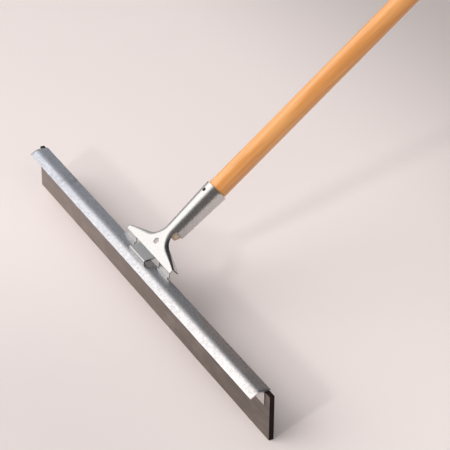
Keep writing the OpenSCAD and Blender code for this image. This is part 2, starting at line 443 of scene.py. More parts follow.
class Effects:
    """Shader effects that more than one finish uses, each built once."""

    def __init__(self) -> None:
        """Builds the groups."""
        self.spangle = self._spangle()
        self.grime = self._grime()
        self.scuffs = self._scuffs()

    @staticmethod
    def _spangle() -> bpy.types.NodeTree:
        """Crystals of a zinc coat: a tone for each crystal and a fine relief."""
        nodes, into, out = start_group(
            "zinc_spangle", {"Vector": VECTOR, "Size": FLOAT, "Ragged": FLOAT},
            {"Tone": FLOAT, "Relief": FLOAT})
        drift = nodes.noise(into.outputs["Vector"], into.outputs["Size"], 3.0)
        pushed = nodes.add("ShaderNodeVectorMath", {0: drift.outputs["Color"], 1: (0.5, 0.5, 0.5)},
                           operation="SUBTRACT")
        amount = nodes.add("ShaderNodeVectorMath", {0: pushed.outputs[0],
                                                    "Scale": into.outputs["Ragged"]},
                           operation="SCALE")
        place = nodes.add("ShaderNodeVectorMath", {0: into.outputs["Vector"], 1: amount.outputs[0]},
                          operation="ADD")
        coarse = nodes.add("ShaderNodeTexVoronoi", {"Vector": place.outputs[0],
                                                    "Scale": into.outputs["Size"]})
        fine_size = nodes.math("MULTIPLY", into.outputs["Size"], 3.1)
        fine = nodes.add("ShaderNodeTexVoronoi", {"Vector": place.outputs[0], "Scale": fine_size})
        tone_a = nodes.add("ShaderNodeSeparateColor", {0: coarse.outputs["Color"]}).outputs[0]
        tone_b = nodes.add("ShaderNodeSeparateColor", {0: fine.outputs["Color"]}).outputs[1]
        tone = nodes.plus(nodes.math("MULTIPLY", tone_a, 0.6), tone_b, 0.4)
        nodes.tree.links.new(tone, out.inputs["Tone"])
        relief = nodes.math("ADD", nodes.math("MULTIPLY", coarse.outputs["Distance"], 0.5), tone)
        nodes.tree.links.new(relief, out.inputs["Relief"])
        return nodes.tree

    @staticmethod
    def _grime() -> bpy.types.NodeTree:
        """Cloudy dirt or dulling: a mask with soft patches broken up by fine specks."""
        nodes, into, out = start_group(
            "cloudy_grime", {"Vector": VECTOR, "Patch size": FLOAT, "Cover": FLOAT},
            {"Mask": FLOAT})
        patches = nodes.noise(into.outputs["Vector"], into.outputs["Patch size"], 4.0, 0.6)
        speck_size = nodes.math("MULTIPLY", into.outputs["Patch size"], 9.0)
        specks = nodes.noise(into.outputs["Vector"], speck_size, 2.0)
        both = nodes.plus(nodes.math("MULTIPLY", patches.outputs[0], 0.75), specks.outputs[0], 0.25)
        edge = nodes.math("SUBTRACT", 0.85, into.outputs["Cover"])
        mask = nodes.math("MULTIPLY", nodes.math("SUBTRACT", both, edge), 4.0, clamp=True)
        nodes.tree.links.new(mask, out.inputs["Mask"])
        return nodes.tree

    @staticmethod
    def _scuffs() -> bpy.types.NodeTree:
        """Fine rubbed lines: thin, long streaks across the given coordinates' X."""
        nodes, into, out = start_group(
            "fine_scuffs", {"Vector": VECTOR, "Fineness": FLOAT, "Length": FLOAT}, {"Mask": FLOAT})
        parts = nodes.add("ShaderNodeSeparateXYZ", {0: into.outputs["Vector"]})
        short = nodes.math("DIVIDE", parts.outputs[0], into.outputs["Length"])
        drawn = nodes.add("ShaderNodeCombineXYZ", {0: short, 1: parts.outputs[1],
                                                   2: parts.outputs[2]})
        lines = nodes.noise(drawn.outputs[0], into.outputs["Fineness"], 5.0, 0.65)
        mask = nodes.ramp(lines.outputs[0], 0.42, 0.68)
        nodes.tree.links.new(mask, out.inputs["Mask"])
        return nodes.tree

    def grime_mask(self, nodes: NodeTree, place: Socket, patches: float, cover: float) -> Socket:
        """Mask of cloudy grime, with patches per metre and its cover."""
        return nodes.group(self.grime, {"Vector": place, "Patch size": patches, "Cover": cover}
                           ).outputs["Mask"]

    def scuff_mask(self, nodes: NodeTree, place: Socket, fineness: float, length: float) -> Socket:
        """Mask of fine scuffs, with lines per metre and how many times longer than wide."""
        return nodes.group(self.scuffs, {"Vector": place, "Fineness": fineness, "Length": length}
                           ).outputs["Mask"]


def start_material(name: str) -> tuple[Material, NodeTree, bpy.types.Node]:
    """New material with its Principled BSDF.

    Args:
        name: Name of the material.

    Returns:
        The material, its node tree and its shader.
    """
    material = bpy.data.materials.new(name)
    material.use_nodes = True
    return material, NodeTree(material.node_tree), material.node_tree.nodes["Principled BSDF"]


def bump(nodes: NodeTree, height: Socket, depth: float, strength: float = 1.0
         ) -> Socket:
    """Normal of a relief, its depth in millimetres."""
    return nodes.add("ShaderNodeBump", {"Height": height, "Distance": depth * MM,
                                        "Strength": strength}).outputs[0]


@dataclass(frozen=True)
class ZincFinish:
    """Zinc on steel, from dull spangled sheet to bright plating."""

    name: str
    dark: Colour
    light: Colour
    crystal_size: float
    crystal_contrast: float
    roughness: Pair
    relief: float
    grime_cover: float
    grime: Colour = (0.20, 0.185, 0.17)
    grime_patches: float = 28.0
    grime_share: float = 0.45
    grime_dulls: float = 0.18
    scuff_turn: Sequence[float] = (0.0, 0.0, 0.0)
    scuff_fineness: float = 420.0
    scuff_length: float = 12.0
    scuff_share: float = 0.25
    scuff_dulls: float = 0.06
    scuff_relief: float = 0.3
    # Painted reflection: colour factors at the two ends along X.
    painted_light_tints: tuple[Colour, Colour] = ((1.0, 1.0, 1.0), (1.0, 1.0, 1.0))
    painted_light_reach: Pair = (-0.30, 0.28)

    def material(self, effects: Effects) -> Material:
        """Builds the finish from the shared effects."""
        material, nodes, shader = start_material(self.name)
        place = nodes.object_coordinates()
        spangle = nodes.group(effects.spangle, {"Vector": place, "Size": 1000.0 / self.crystal_size,
                                                "Ragged": self.crystal_size * MM})
        grime = effects.grime_mask(nodes, place, self.grime_patches, self.grime_cover)
        drawn = nodes.object_coordinates(self.scuff_turn)
        scuffs = effects.scuff_mask(nodes, drawn, self.scuff_fineness, self.scuff_length)
        tone = nodes.ramp(spangle.outputs["Tone"], 0.5 - self.crystal_contrast,
                          0.5 + self.crystal_contrast)
        metal = nodes.blend(tone, rgba(self.dark), rgba(self.light))
        rubbed = nodes.math("MULTIPLY", scuffs, self.scuff_share)
        worn = nodes.blend(rubbed, metal, rgba(self.light))
        dirty = nodes.math("MULTIPLY", grime, self.grime_share)
        colour = nodes.blend(dirty, worn, rgba(self.grime))
        # Painted reflection: the colour is tinted along X.
        low, high = (rgba(painted_light) for painted_light in self.painted_light_tints)
        painted_light = nodes.blend(nodes.ramp(nodes.axis(place, 0), *self.painted_light_reach), low, high)
        colour = nodes.blend(1.0, colour, painted_light, "MULTIPLY")
        smooth, rough = self.roughness
        gloss = nodes.ramp(tone, 0.0, 1.0, rough, smooth)
        gloss = nodes.plus(gloss, scuffs, self.scuff_dulls)
        gloss = nodes.plus(gloss, grime, self.grime_dulls, clamp=True)
        heights = nodes.plus(spangle.outputs["Relief"], scuffs, self.scuff_relief)
        nodes.fill(shader, {"Base Color": colour, "Roughness": gloss, "Metallic": 1.0,
                            "Normal": bump(nodes, heights, self.relief)})
        return material


@dataclass(frozen=True)
class RubberFinish:
    """Matt brown-grey rubber, dusty in patches and lines, with painted light that makes it paler
    towards the left end.
    """

    name: str
    body: Colour = (0.108, 0.084, 0.072)
    # Colour of the dusty patches and of the painted light at the left end.
    dust_and_light_colour: Colour = (0.235, 0.195, 0.175)
    roughness: Pair = (0.58, 0.8)
    # pale and pale_reach set the painted light: the rubber is paler towards the left end.
    pale: float = 0.8
    pale_reach: Pair = (-0.3, 0.25)
    sheen: float = 0.35

    def material(self, effects: Effects) -> Material:
        """Builds the finish from the shared effects."""
        material, nodes, shader = start_material(self.name)
        place = nodes.object_coordinates()
        grime = effects.grime_mask(nodes, place, 22.0, 0.36)
        lines = effects.scuff_mask(nodes, place, 260.0, 9.0)
        pores = nodes.noise(place, 1500.0, 3.0)
        dust_and_painted_light = nodes.plus(nodes.math("MULTIPLY", grime, 0.5), lines, 0.3, clamp=True)
        # Painted light: paler towards the left end of the blade.
        painted_light_share = nodes.ramp(nodes.axis(place, 0), *self.pale_reach, self.pale, 0.0)
        dust_and_painted_light = nodes.math("ADD", dust_and_painted_light, painted_light_share, clamp=True)
        colour = nodes.blend(dust_and_painted_light, rgba(self.body), rgba(self.dust_and_light_colour))
        gloss = nodes.ramp(dust_and_painted_light, 0.0, 1.0, *self.roughness)
        heights = nodes.plus(pores.outputs[0], lines, 0.7)
        nodes.fill(shader, {"Base Color": colour, "Roughness": gloss,
                            "Specular IOR Level": self.sheen,
                            "Normal": bump(nodes, heights, 0.12, 0.6)})
        return material


@dataclass(frozen=True)
class WoodFinish:
    """Straight-grained turned wood, varnished amber or bare."""

    name: str
    lean: float
    early: Colour = (0.80, 0.37, 0.118)
    late: Colour = (0.70, 0.285, 0.072)
    pore: Colour = (0.56, 0.195, 0.042)
    roughness: Pair = (0.34, 0.46)
    varnish: float = 0.45

    def material(self, effects: Effects) -> Material:
        """Builds the finish; the grain runs along the handle."""
        material, nodes, shader = start_material(self.name)
        upright = nodes.object_coordinates((-self.lean, 0.0, 0.0))
        stretched = nodes.add("ShaderNodeMapping", {"Vector": upright, "Scale": (1.0, 0.04, 1.0)}
                              ).outputs[0]
        warp = nodes.noise(stretched, 130.0, 3.0)
        rings = nodes.add("ShaderNodeTexWave", {"Vector": stretched, "Scale": 85.0,
                                                "Distortion": 7.0, "Detail": 4.0,
                                                "Detail Scale": 2.2, "Detail Roughness": 0.6},
                          wave_type="BANDS", bands_direction="DIAGONAL", wave_profile="SIN")
        fibres = nodes.noise(stretched, 1150.0, 4.0, 0.7)
        band = nodes.plus(nodes.math("MULTIPLY", rings.outputs[1], 0.4), warp.outputs[0], 0.6)
        tone = nodes.blend(nodes.ramp(band, 0.25, 0.8), rgba(self.early), rgba(self.late))
        dark = nodes.ramp(fibres.outputs[0], 0.55, 0.75)
        colour = nodes.blend(nodes.math("MULTIPLY", dark, 0.4), tone, rgba(self.pore))
        rubbed = effects.grime_mask(nodes, stretched, 40.0, 0.34)
        gloss = nodes.ramp(rubbed, 0.0, 1.0, *self.roughness)
        heights = nodes.plus(fibres.outputs[0], band, 0.6)
        nodes.fill(shader, {"Base Color": colour, "Roughness": gloss, "Coat Weight": self.varnish,
                            "Coat Roughness": 0.25, "Normal": bump(nodes, heights, 0.06, 0.5)})
        return material


@dataclass(frozen=True)
class FloorFinish:
    """Plain pale studio floor, with painted shade falling off to the back and to the near side."""

    name: str
    colour: Colour = (0.85, 0.765, 0.744)
    back_painted_shade: float = 0.64
    back_reach: Pair = (0.36, 0.86)
    near_painted_shade: float = 0.80
    near_centre: Vector = Vector((0.28, -0.32, 0.0))
    near_reach: Pair = (0.10, 0.62)

    def material(self, effects: Effects) -> Material:
        """Builds the finish with a trace of unevenness and its painted shade."""
        material, nodes, shader = start_material(self.name)
        place = nodes.object_coordinates()
        cloud = effects.grime_mask(nodes, place, 1.5, 0.3)
        darker = tuple(0.985 * channel for channel in self.colour)
        colour = nodes.blend(cloud, rgba(self.colour), rgba(darker))
        back = nodes.axis(place, 1)
        near = nodes.add("ShaderNodeVectorMath", {0: place, 1: self.near_centre},
                         operation="DISTANCE").outputs["Value"]
        # Painted shade: darker to the back, and round a spot on the near side.
        for tone in (nodes.ramp(back, *self.back_reach, 1.0, self.back_painted_shade),
                     nodes.ramp(near, *self.near_reach, self.near_painted_shade, 1.0)):
            colour = nodes.blend(1.0, colour, tone, "MULTIPLY")
        nodes.fill(shader, {"Base Color": colour, "Roughness": 0.85, "Specular IOR Level": 0.15})
        return material


# ---------------------------------------------------------------- the parts


@dataclass
class BoltRow:
    """Where the clamp bolts stand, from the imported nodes."""

    count: int = 5
    diameter: float = 5.0
    head_radius: float = 5.0
    clearance: float = 0.25

    def __post_init__(self) -> None:
        """Reads the row's places."""
        low, high = cad_box("clamp_bolts")
        bar_low, _ = cad_box("clamp_bar")
        first, last = low.x + self.head_radius, high.x - self.head_radius
        self.places = [mix(first, last, k / (self.count - 1)) for k in range(self.count)]
        self.height = (low.z + high.z) / 2.0
        self.front, self.tip, self.seat = low.y, high.y, bar_low.y

    def holes(self) -> Shape:
        """Rods through every bolt's place, wider than the bolts by their clearance."""
        start = Vector((0, self.front - OVERRUN, self.height))
        end = Vector((0, self.tip + OVERRUN, self.height))
        bm = rod(self.diameter / 2.0 + self.clearance, start, end)
        repeat_along_x(bm, self.places)
        return bm

    def stand(self, bm: Shape, y: float) -> None:
        """Turns a part's +Z to +Y, puts it at y and repeats it along the row."""
        turn = Matrix.Rotation(math.radians(-90.0), 4, "X")
        place = Matrix.Translation((0, y, self.height))
        bmesh.ops.transform(bm, matrix=place @ turn, verts=bm.verts[:])
        repeat_along_x(bm, self.places)


@dataclass
class RubberBlade:
    """The thick rubber strip, with eased edges and a slightly uneven working edge."""

    row: BoltRow
    edge_radius: float = 0.45
    length_step: float = 6.0
    level_cuts: Sequence[float] = (0.06, 0.3, 0.62)
    wander: float = 0.18
    free_share: float = 0.6
    bow_wavelength: float = 70.0
    worn_height: float = 1.0
    worn_wavelength: float = 23.0

    def build(self, material: Material, cut: Material) -> Piece:
        """Models and dresses the blade, its top and ends in a darker copy of the rubber that paints
        their shade.
        """
        low, high = cad_box("rubber_blade")
        size = high - low
        bm = solid_box(low, high)
        ease_edges(bm, self.edge_radius, segments=3)
        steps = round(size.x / self.length_step)
        cuts = [((mix(low.x, high.x, k / steps), 0, 0), (1, 0, 0)) for k in range(1, steps)]
        cuts += [((0, 0, mix(low.z, high.z, share)), (0, 0, 1)) for share in self.level_cuts]
        for place, way in cuts:
            bmesh.ops.bisect_plane(bm, geom=everything(bm), plane_co=place, plane_no=way)
        for vert in bm.verts:
            free = 1.0 - smooth_step(0.0, self.free_share * size.z, vert.co.z - low.z)
            along = Vector((vert.co.x, 0.0, 0.0))
            vert.co.y += unevenness(along, self.bow_wavelength, self.wander, 3.0) * free
            if vert.co.z < low.z + self.worn_height:
                vert.co.z += abs(unevenness(along, self.worn_wavelength, self.wander / 2.0, 8.0))
        bm = carve(bm, self.row.holes())
        obj = finish_piece(bm, "rubber_blade_strip", material, Body.HEAD,
                           "rubber_blade")
        # Painted shade: the top, under the frame, and the ends, turned from the light, take the
        # darker rubber.
        dress_where(obj, cut, lambda face: face.normal.z > 0.7 or abs(face.normal.x) > 0.6
                    and abs(face.center.x) > (high.x - 1.0) * MM)
        return obj


@dataclass
class FoldedFrame:
    """The frame: back wall, top plate and visor folded from one galvanised sheet."""

    row: BoltRow
    sheet: float = 1.4
    rise: float = math.radians(4.6)
    visor_slope: float = math.radians(29.0)
    visor_length: float = 10.5
    top_plate_run: float = 15.0
    fold_radius: float = 0.4
    front_bend: float = 12.0
    wall_height: float = 18.0
    length_step: float = 4.0
    ripple: float = 0.12
    knocks: Sequence[tuple[float, float, float]] = (
        (-236.0, 5.5, 0.55), (-205.0, 4.0, 0.35), (-148.0, 7.0, 0.5), (-96.0, 4.5, 0.3),
        (48.0, 6.0, 0.35), (176.0, 5.0, 0.4))

    def __post_init__(self) -> None:
        """Works out the folds on the sheet's middle."""
        low, high = cad_box("squeegee_frame")
        self.low, self.high = low, high
        back_y = high.y - self.sheet / 2.0
        front_y = back_y - self.top_plate_run
        back_z = low.z + self.wall_height
        front_z = back_z + self.top_plate_run * math.tan(self.rise)
        self.back_fold, self.front_fold = Vector((back_y, back_z)), Vector((front_y, front_z))
        self.lip = self.front_fold - self.visor_length * Vector(
            (math.cos(self.visor_slope), math.sin(self.visor_slope)))

    def top_at(self, y: float) -> float:
        """Height of the top plate's upper face at y."""
        middle = self.back_fold.y + (self.back_fold.x - y) * math.tan(self.rise)
        return middle + self.sheet / 2.0 / math.cos(self.rise)

    def dents(self, point: Vector, forward: float) -> float:
        """Depth of the visor's knocks and of the sheet's gentle ripple at a point."""
        depth = sum(deep * math.exp(-((point.x - x) / wide) ** 2) for x, wide, deep in self.knocks)
        return depth * smooth_step(0.35, 1.0, forward) + unevenness(point, 38.0, self.ripple, 5.0)

    def build(self, material: Material) -> Piece:
        """Models and dresses the frame."""
        wall_foot = Vector((self.back_fold.x, self.low.z))
        corners = [wall_foot, self.back_fold, self.front_fold, self.lip]
        trace = Bend((self.fold_radius + self.sheet / 2.0, self.front_bend), 8).trace(corners)
        path = self._refined([point - normal * self.sheet / 2.0 for point, normal in trace])
        columns = round((self.high.x - self.low.x) / self.length_step)

        def place(column: int, row: int) -> Vector:
            """Point of the outer face."""
            y, z = path[row]
            x = mix(self.low.x, self.high.x, column / columns)
            forward = (self.front_fold.x - y) / (self.front_fold.x - self.lip.x)
            sag = self.dents(Vector((x, y, z)), forward) if y < self.high.y - 2.0 else 0.0
            return Vector((x, y, z - sag))

        bm = shaped_grid(columns, len(path) - 1, place)
        face_along(bm, Vector((0, 0, 1)))
        thicken(bm, self.sheet)
        bm = carve(bm, self.row.holes())
        ease_edges(bm, 0.16)
        return finish_piece(bm, "folded_frame_sheet", material, Body.HEAD,
                            "squeegee_frame")

    @staticmethod
    def _refined(points: list[Vector], step: float = 2.0) -> list[Vector]:
        """Path with extra points on its long straight runs."""
        fine = [points[0]]
        for a, b in zip(points, points[1:]):
            parts = max(1, math.ceil((b - a).length / step))
            fine += [a.lerp(b, k / parts) for k in range(1, parts + 1)]
        return fine


@dataclass
class ClampBar:
    """Flat bar in front of the blade, with square corners eased by its tumbling."""

    row: BoltRow
    edge: float = 0.2
    length_step: float = 10.0

    def build(self, material: Material) -> Piece:
        """Models and dresses the bar."""
        low, high = cad_box("clamp_bar")
        bm = solid_box(low, high)
        long_edges = [e for e in bm.edges if abs(e.verts[0].co.x - e.verts[1].co.x) > 1.0]
        cuts = round((high.x - low.x) / self.length_step)
        bmesh.ops.subdivide_edges(bm, edges=long_edges, cuts=cuts, use_grid_fill=True)
        bm = carve(bm, self.row.holes())
        ease_edges(bm, self.edge)
        return finish_piece(bm, "front_clamp_bar", material, Body.HEAD,
                            "clamp_bar")


@dataclass
class Fasteners:
    """Round-headed bolts, washers and chamfered nuts along the clamp."""

    row: BoltRow
    pitch: float = 0.8
    thread_depth: float = 0.42
    thread_clearance: float = 0.05
    facing_share: float = 0.96
    steps: int = 24

    def thread(self, radius: float, start: float, end: float) -> Shape:
        """Helical thread on +Z.

        Args:
            radius: Outer radius.
            start: Height of its lower end.
            end: Height of its upper end.

        Returns:
            The closed threaded rod.
        """
        root = radius - self.thread_depth
        tooth = ((root, 0.06), (radius, 0.44), (radius, 0.56), (root, 0.94))
        bm = bmesh.new()
        turns = math.ceil((end - start) / self.pitch) + 2
        verts = [bm.verts.new((r, 0.0, start + (turn - 1 + share) * self.pitch))
                 for turn in range(turns) for r, share in tooth]
        edges = [bm.edges.new(pair) for pair in zip(verts, verts[1:])]
        bmesh.ops.spin(bm, geom=verts + edges, cent=(0, 0, 0), axis=(0, 0, 1),
                       dvec=(0, 0, self.pitch / self.steps), angle=TAU, steps=self.steps,
                       use_merge=False, use_duplicate=False)
        bmesh.ops.remove_doubles(bm, verts=bm.verts[:], dist=1e-3)
        for height, way in ((start, -1.0), (end, 1.0)):
            cut = bmesh.ops.bisect_plane(bm, geom=everything(bm), dist=1e-5, clear_outer=True,
                                         plane_co=(0, 0, height), plane_no=(0, 0, way))
            bmesh.ops.holes_fill(bm, edges=only(bmesh.types.BMEdge, cut["geom_cut"]), sides=0)
        bmesh.ops.recalc_face_normals(bm, faces=bm.faces[:])
        return bm

    def build_bolts(self, material: Material) -> Piece:
        """Models and dresses the bolts."""
        radius, head = self.row.diameter / 2.0, self.row.head_radius
        rise = self.row.seat - self.row.front
        length = self.row.tip - self.row.seat
        dome = (head * head + rise * rise) / (2.0 * rise)
        sweep = math.asin(head / dome)
        cap = [(dome * math.sin(sweep * k / 8.0), dome - rise - dome * math.cos(sweep * k / 8.0))
               for k in range(9)]
        shank = [(head, 0.0), (radius, 0.0), (radius, length / 2.0), (0.0, length / 2.0)]
        bm = lathe([*cap, *shank], 32)
        end = self.thread(radius, length / 2.0 - 1.0, length)
        tip = lathe([(0.0, 0.0), (radius, 0.0), (radius, length - 0.6), (radius - 0.6, length),
                     (0.0, length)], 32)
        bm = carve(bm, carve(end, tip, Carve.KEEP_COMMON), Carve.JOIN)
        self.row.stand(bm, self.row.seat)
        return finish_piece(bm, "domed_clamp_bolts", material, Body.HEAD,
                            "clamp_bolts")

    def build_washers(self, material: Material) -> Piece:
        """Models and dresses the washers."""
        low, high = cad_box("clamp_washers")
        outer, thick = (high.z - low.z) / 2.0, high.y - low.y
        inner, ease = self.row.diameter / 2.0 + 0.3, 0.15
        loop = [(inner, ease), (inner + ease, 0.0), (outer - ease, 0.0), (outer, ease),
                (outer, thick - ease), (outer - ease, thick), (inner + ease, thick),
                (inner, thick - ease)]
        bm = lathe([*loop, loop[0]], 40)
        self.row.stand(bm, low.y)
        return finish_piece(bm, "clamp_washers_set", material, Body.HEAD,
                            "clamp_washers")

    def build_nuts(self, material: Material) -> Piece:
        """Models and dresses the nuts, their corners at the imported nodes' top and bottom."""
        low, high = cad_box("clamp_nuts")
        height, corner = high.y - low.y, (high.z - low.z) / 2.0
        sixth = math.radians(30.0)
        bm = bmesh.new()
        bmesh.ops.create_cone(bm, cap_ends=True, segments=6, radius1=corner, radius2=corner,
                              depth=height)
        bmesh.ops.translate(bm, vec=(0, 0, height / 2.0), verts=bm.verts[:])
        rim = corner * math.cos(sixth) * self.facing_share
        drop = (corner - rim) * math.tan(sixth)
        facing = lathe([(0.0, 0.0), (rim, 0.0), (corner, drop), (corner, height - drop),
                        (rim, height), (0.0, height)], 48)
        bm = carve(bm, facing, Carve.KEEP_COMMON)
        bore = self.thread(self.row.diameter / 2.0 + self.thread_clearance, -1.0, height + 1.0)
        bm = carve(bm, bore)
        self.row.stand(bm, low.y)
        return finish_piece(bm, "clamp_nuts_set", material, Body.HEAD, "clamp_nuts")


@dataclass
class SocketAxis:
    """The handle's line and the sheet's fold over the frame, seen along X."""

    folded: FoldedFrame
    lean: float = math.radians(37.5)
    taper: float = math.radians(2.4)
    sheet: float = 1.6
    mouth_bore: float = 13.5
    length: float = 70.0
    lift: float = 7.4
    fold_inset: float = 0.4
    wing_half_span: float = 56.5
    wing_tip: float = 6.0
    wing_slope: float = math.radians(19.3)
    crotch_radius: float = 20.0
    neck_inset: float = 2.6

    def __post_init__(self) -> None:
        """Works out the socket from its sizes."""
        self.along = Vector((math.cos(self.lean), math.sin(self.lean)))
        self.square = left_of(self.along)
        steep = self.lean + self.taper
        self.plate = Vector((math.cos(steep), math.sin(steep)))
        self.plate_normal = left_of(self.plate)
        fold_y = self.folded.high.y + self.fold_inset
        self.fold = Vector((fold_y, self.folded.top_at(fold_y) + self.lift))
        self.slope = math.tan(self.taper)
        wall = self.sheet / math.cos(self.taper)
        self.mouth = self.mouth_bore + wall
        self.throat = self.mouth - self.length * self.slope
        self.neck = self.throat - self.neck_inset
        run = self.wing_half_span - self.neck - self.crotch_radius
        self.crotch_u = self.wing_tip + (self.crotch_radius + run * math.sin(self.wing_slope)
                                         ) / math.cos(self.wing_slope)
        self.neck_length = self.crotch_u + 0.5
        self.origin = self.fold + self.neck_length * self.plate - self.throat * self.square

    def on_axis(self, s: float, radius: float = 0.0, angle: float = 0.0) -> Vector:
        """Point at a distance up the axis, a radius and an angle from its top."""
        middle = self.origin + s * self.along + radius * math.cos(angle) * self.square
        return Vector((radius * math.sin(angle), middle.x, middle.y))

    def on_plate(self, x: float, u: float, w: float) -> Vector:
        """Point on the plate: x, distance up from the fold and height above the top face."""
        spot = self.fold + u * self.plate + w * self.plate_normal
        return Vector((x, spot.x, spot.y))


@dataclass
class SocketBracket:
    """One pressed sheet: wings with a turned-down rim, feet, tongue, neck and rolled tube."""

    axis: SocketAxis
    foot_inner: float = 30.5
    tongue_half: float = 19.5
    rim_deep: float = 10.5
    rim_shallow: float = 4.65
    rim_bend: float = 3.0
    crotch_bend: float = 7.6
    seam: float = 0.8
    fold_bend: float = 0.9
    fold_start: float = 0.75
    corner_share: float = 0.72
    heel_inset: float = 0.4
    nose_ahead: float = 1.9
    nose_drop: float = 0.9
    notch_depth: float = 0.2
    foot_reach: float = 3.2
    plate_hole: Pair = (14.6, 4.0)
    fixing_hole: Pair = (60.0, 2.4)
    flat_columns: int = 14
    bend_columns: int = 8
    rim_columns: int = 4
    tube_columns: int = 18
    fold_rows: Sequence[int] = (16, 7, 12)
    neck_rows: int = 22
    tube_rows: int = 30

    def __post_init__(self) -> None:
        """Prepares the outline of the wings' back edge."""
        axis = self.axis
        self.edge_angle = math.pi / 2.0 - axis.wing_slope
        self.crotch = Vector((axis.neck + axis.crotch_radius, axis.crotch_u))
        start = self.crotch - axis.crotch_radius * Vector(
            (math.cos(self.edge_angle), math.sin(self.edge_angle)))
        self.tip = Vector((axis.wing_half_span, axis.wing_tip))
        self.slope_length = (self.tip - start).length
        self.arc_length = axis.crotch_radius * self.edge_angle
        self.outline_length = self.slope_length + self.arc_length + 0.5
        self.rim_columns_total = self.flat_columns + self.bend_columns + self.rim_columns
        self.plate_rows = sum(self.fold_rows) + self.neck_rows

    def outline(self, run: float) -> tuple[Vector, Vector]:
        """Back edge of the wing.

        Args:
            run: Distance along the edge from the wing's tip.

        Returns:
            The point (x, u) and the outward normal there.
        """
        axis = self.axis
        normal = Vector((math.sin(axis.wing_slope), math.cos(axis.wing_slope)))
        if run < self.slope_length:
            way = Vector((-math.cos(axis.wing_slope), math.sin(axis.wing_slope)))
            square_end = 1.0 - smooth_step(0.0, 7.0, run)
            return self.tip + way * run, normal + way * math.tan(axis.wing_slope) * square_end
        turn = min((run - self.slope_length) / axis.crotch_radius, self.edge_angle)
        angle = math.pi + self.edge_angle - turn
        normal = -Vector((math.cos(angle), math.sin(angle)))
        point = self.crotch - axis.crotch_radius * normal
        spare = max(0.0, run - self.slope_length - self.arc_length)
        return point + Vector((0.0, spare)), normal

    def inner_end(self, row: int) -> tuple[Vector, float]:
        """Where a row of the plate starts.

        Args:
            row: Row from the wing's end, in by the fold and up the middle.

        Returns:
            The start (x, u), and the distance along the outline where the row ends.
        """
        stops = (self.axis.wing_half_span, self.foot_inner, self.tongue_half, 0.0)
        corner_run = self.corner_share * self.outline_length
        seen = 0
        for count, outer, inner in zip(self.fold_rows, stops, stops[1:]):
            if row <= seen + count:
                x = mix(outer, inner, (row - seen) / count)
                in_notch = self.tongue_half + 1e-6 < x < self.foot_inner - 1e-6
                share = 1.0 - x / self.axis.wing_half_span
                u = self.notch_depth if in_notch else self.fold_start
                return Vector((x, u)), corner_run * share
            seen += count
        up = (row - seen) / self.neck_rows
        return Vector((0.0, mix(self.fold_start, self.axis.neck_length, up))), mix(
            corner_run, self.outline_length, up)

    def rim_profile(self, row: int, column: int) -> Vector:
        """Point of the plate, its bend or its rim.

        Args:
            row: Row from the wing's end.
            column: Column from the fold or the middle line out to the rim's edge.

        Returns:
            The point in space.
        """
        start, run = self.inner_end(row)
        edge, normal = self.outline(run)
        closing = smooth_step(24.0, self.axis.neck_length, edge.y)
        inward = smooth_step(0.0, self.slope_length + 0.5 * self.arc_length, run)
        deep = mix(self.rim_deep, self.rim_shallow, inward)
        bend = mix(mix(self.rim_bend, self.crotch_bend, inward), self.axis.throat, closing)
        sweep = math.acos(max(0.0, 1.0 - deep / bend))
        straight = max(0.0, deep - bend)
        reach = bend * math.sin(sweep)
        flat_end = edge - normal * reach
        flat = max(0.0, (flat_end - start).length)
        parts = (flat, bend * sweep, straight)
        counts = (self.flat_columns, self.bend_columns, self.rim_columns)
        even = sum(parts) * column / self.rim_columns_total
        placed, left = 0.0, column
        for part, count in zip(parts, counts):
            placed += part * min(left, count) / count
            left = max(0, left - count)
        run_out = mix(placed, even, smooth_step(24.0, self.axis.neck_length - 1.0, edge.y))
        if run_out <= flat:
            spot = start.lerp(flat_end, run_out / max(flat, 1e-6))
            return self.axis.on_plate(spot.x, spot.y, 0.0)
        turn = min((run_out - flat) / bend, sweep)
        down = bend * (1.0 - math.cos(turn)) + max(0.0, run_out - flat - bend * sweep)
        spot = flat_end + normal * bend * math.sin(turn)
        return self.axis.on_plate(spot.x, spot.y, -down)

    def tube_point(self, row: int, column: int) -> Vector:
        """Point of the rolled tube, from its top line round to the seam."""
        axis = self.axis
        s = axis.length * row / self.tube_rows
        radius = axis.throat + axis.slope * s
        edge = math.acos(1.0 - self.rim_shallow / axis.throat)
        end = math.pi - self.seam / 2.0 / radius
        if column <= self.rim_columns_total:
            angle = edge * column / self.rim_columns_total
        else:
            angle = mix(edge, end, (column - self.rim_columns_total) / self.tube_columns)
        return axis.on_axis(s, radius, angle)

    def strip(self, bm: Shape, low: float, high: float, corners: Sequence[Vector]) -> None:
        """Folds a strip down from the plate's lower edge.

        Args:
            bm: The sheet.
            low: The strip's lower end in X.
            high: Its upper end in X.
            corners: Corners of the path of the sheet's middle, from the plate's fold.
        """
        lead_in = corners[0] + self.axis.plate * 4.0
        trace = Bend((self.fold_bend,) * 2, 6).trace([lead_in, *corners])
        path = [point - normal * self.axis.sheet / 2.0 for point, normal in trace[1:]]
        line = self.axis.on_plate(0.0, self.fold_start, 0.0)
        verts = [v for v in bm.verts if low - 1e-4 <= v.co.x <= high + 1e-4
                 and abs(v.co.y - line.y) < 1e-4 and abs(v.co.z - line.z) < 1e-4]
        chosen = set(verts)
        edges = [e for e in bm.edges if e.verts[0] in chosen and e.verts[1] in chosen]
        for y, z in path[1:]:
            grown = bmesh.ops.extrude_edge_only(bm, edges=edges)["geom"]
            edges = only(bmesh.types.BMEdge, grown)
            for vert in only(bmesh.types.BMVert, grown):
                vert.co.y, vert.co.z = y, z

    def build(self, material: Material) -> Piece:
        """Models and dresses the bracket."""
        axis = self.axis
        total = self.rim_columns_total + self.tube_columns

        def place(column: int, row: int) -> Optional[Vector]:
            """Point of the right half, or None outside the blank."""
            if row >= self.plate_rows:
                return self.tube_point(row - self.plate_rows, column)
            if column > self.rim_columns_total:
                return None
            return self.rim_profile(row, column)

